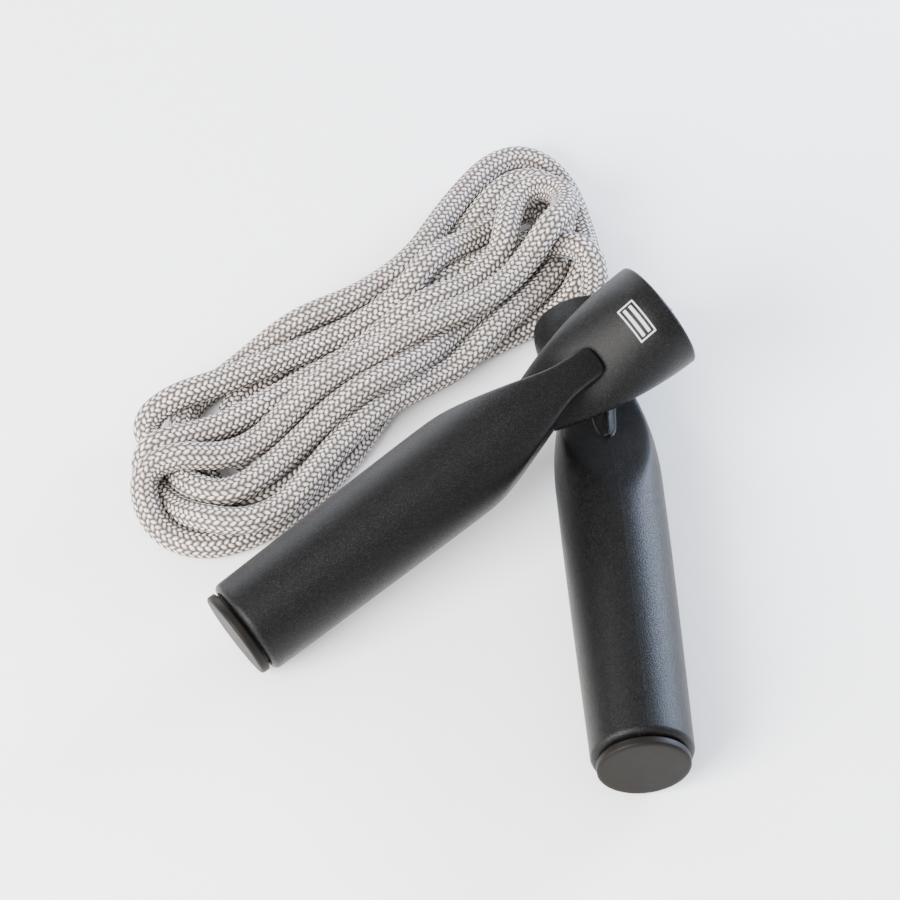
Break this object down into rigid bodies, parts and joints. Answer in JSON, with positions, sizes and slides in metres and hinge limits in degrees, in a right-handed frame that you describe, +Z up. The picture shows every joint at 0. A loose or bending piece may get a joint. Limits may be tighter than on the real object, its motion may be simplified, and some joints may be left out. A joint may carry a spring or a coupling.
{
  "type": "skipping rope",
  "caption": "Hank of thick braided skipping rope with two hollow flared handles, each turning on a ball bearing.",
  "frame": {"origin": "on the floor, under the middle of the box round the two handles", "axes": "+Z up from the floor; +Y away from the viewer; the handles lie on the floor with their mouths towards +Y"},
  "size_m": [0.1791, 0.256, 0.072],
  "materials": {
    "grip_plastic": "fine-textured black moulding",
    "cap_plastic": "smooth dark grey-brown moulding",
    "bearing_steel": "ground",
    "ball_steel": "polished",
    "cage_nylon": "natural nylon",
    "spring_steel": "oiled",
    "acetal": "turned",
    "zinc_steel": "zinc plated",
    "crimp_aluminium": "satin",
    "braided_rope": "braided"
  },
  "bodies": {
    "rope": {"rope_hank": "braided_rope", "rope_lead_1": "braided_rope", "rope_lead_2": "braided_rope", "bearing_1_inner_race": "bearing_steel", "swivel_sleeve_1": "acetal", "thrust_washer_1": "zinc_steel", "rope_ferrule_1": "crimp_aluminium", "bearing_2_inner_race": "bearing_steel", "swivel_sleeve_2": "acetal", "thrust_washer_2": "zinc_steel", "rope_ferrule_2": "crimp_aluminium"},
    "handle_1": {"handle_1_body": "grip_plastic", "handle_1_end_cap": "cap_plastic", "bearing_1_outer_race": "bearing_steel", "retaining_ring_1": "spring_steel"},
    "handle_2": {"handle_2_body": "grip_plastic", "handle_2_end_cap": "cap_plastic", "bearing_2_outer_race": "bearing_steel", "retaining_ring_2": "spring_steel"},
    "cage_1": {"bearing_1_cage": "cage_nylon", "bearing_1_ball_1": "ball_steel", "bearing_1_ball_2": "ball_steel", "bearing_1_ball_3": "ball_steel", "bearing_1_ball_4": "ball_steel", "bearing_1_ball_5": "ball_steel", "bearing_1_ball_6": "ball_steel", "bearing_1_ball_7": "ball_steel", "bearing_1_ball_8": "ball_steel", "bearing_1_ball_9": "ball_steel"},
    "cage_2": {"bearing_2_cage": "cage_nylon", "bearing_2_ball_1": "ball_steel", "bearing_2_ball_2": "ball_steel", "bearing_2_ball_3": "ball_steel", "bearing_2_ball_4": "ball_steel", "bearing_2_ball_5": "ball_steel", "bearing_2_ball_6": "ball_steel", "bearing_2_ball_7": "ball_steel", "bearing_2_ball_8": "ball_steel", "bearing_2_ball_9": "ball_steel"}
  },
  "joints": [
    {"name": "handle_1_spin", "type": "hinge", "parent": "rope", "child": "handle_1", "pos_m": [0.00144, 0.01519, 0.03508], "axis": [0.7893, 0.5643, 0.2419], "continuous": true},
    {"name": "cage_1_spin", "type": "hinge", "parent": "rope", "child": "cage_1", "pos_m": [0.00144, 0.01519, 0.03508], "axis": [0.7893, 0.5643, 0.2419], "continuous": true},
    {"name": "handle_2_spin", "type": "hinge", "parent": "rope", "child": "handle_2", "pos_m": [0.05093, 0.00286, 0.0172], "axis": [-0.0819, 0.9966, 0.0119], "continuous": true},
    {"name": "cage_2_spin", "type": "hinge", "parent": "rope", "child": "cage_2", "pos_m": [0.05093, 0.00286, 0.0172], "axis": [-0.0819, 0.9966, 0.0119], "continuous": true}
  ],
  "couplings": [
    {"joint": "cage_1_spin", "follows": "handle_1_spin", "ratio": 0.6},
    {"joint": "cage_2_spin", "follows": "handle_2_spin", "ratio": 0.6}
  ]
}
